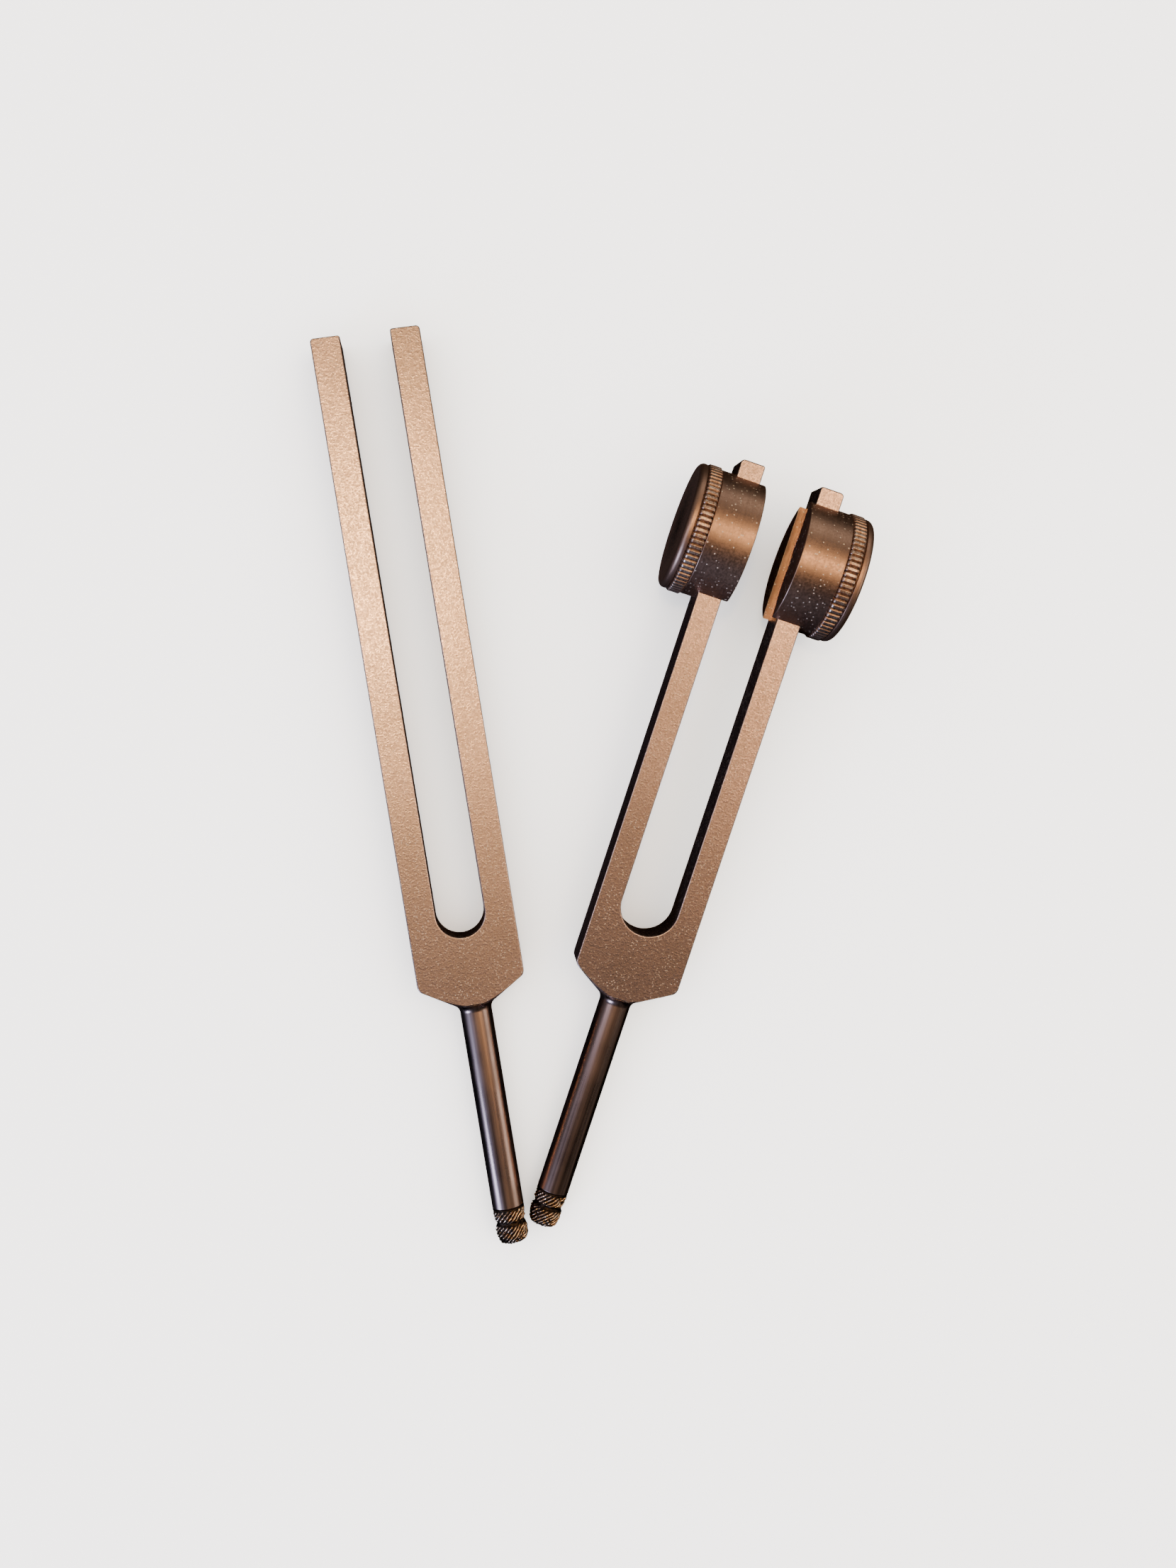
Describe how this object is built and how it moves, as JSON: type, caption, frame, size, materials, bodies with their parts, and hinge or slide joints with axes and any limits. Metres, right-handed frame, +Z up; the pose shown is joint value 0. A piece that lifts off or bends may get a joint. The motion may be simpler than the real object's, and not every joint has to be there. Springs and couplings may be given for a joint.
{
  "type": "tuning fork set",
  "caption": "Pair of aluminium tuning forks with round stems and knurled tips, one plain and one with round sliding weights and knurled clamp caps.",
  "frame": {"origin": "on the table, under the middle of the pair's outline", "axes": "+Z up from the table, +Y from the weighted fork's stem towards its tines, +X to the right seen from above; the plain fork lies on the -X side, turned 26.9 degrees"},
  "size_m": [0.1342, 0.1976, 0.03],
  "materials": {
    "blasted_aluminium": "bead blasted flat faces with a fine sparkle, in warm light",
    "turned_aluminium": "fine turned, smooth",
    "knurled_aluminium": "knurled and satin",
    "satin_aluminium": "turned and lightly blasted satin",
    "screw_steel": "plain steel"
  },
  "bodies": {
    "weighted_fork_body": {"weighted_fork": "blasted_aluminium", "weighted_stem": "turned_aluminium", "weighted_stem_tip": "knurled_aluminium"},
    "plain_fork_body": {"plain_fork": "blasted_aluminium", "plain_stem": "turned_aluminium", "plain_stem_tip": "knurled_aluminium"},
    "left_weight_body": {"left_weight": "satin_aluminium", "left_clamp_screw": "screw_steel"},
    "right_weight_body": {"right_weight": "satin_aluminium", "right_clamp_screw": "screw_steel"},
    "left_cap_body": {"left_knurled_cap": "knurled_aluminium"},
    "right_cap_body": {"right_knurled_cap": "knurled_aluminium"}
  },
  "joints": [
    {"name": "plain_fork_lift", "type": "slide", "parent": "weighted_fork_body", "child": "plain_fork_body", "axis": [0, 0, 1], "range_m": [0, 0.05]},
    {"name": "left_weight_slide", "type": "slide", "parent": "weighted_fork_body", "child": "left_weight_body", "axis": [0, 0.9977, 0.0681], "range_m": [-0.008, 0.004]},
    {"name": "right_weight_slide", "type": "slide", "parent": "weighted_fork_body", "child": "right_weight_body", "axis": [0, 0.9977, 0.0681], "range_m": [-0.008, 0.004]},
    {"name": "left_cap_turn", "type": "hinge", "parent": "left_weight_body", "child": "left_cap_body", "pos_m": [0.02797, 0.07425, 0.015], "axis": [-1, 0, 0], "range_deg": [0, 540]},
    {"name": "right_cap_turn", "type": "hinge", "parent": "right_weight_body", "child": "right_cap_body", "pos_m": [0.06397, 0.07425, 0.015], "axis": [1, 0, 0], "range_deg": [0, 540]}
  ]
}
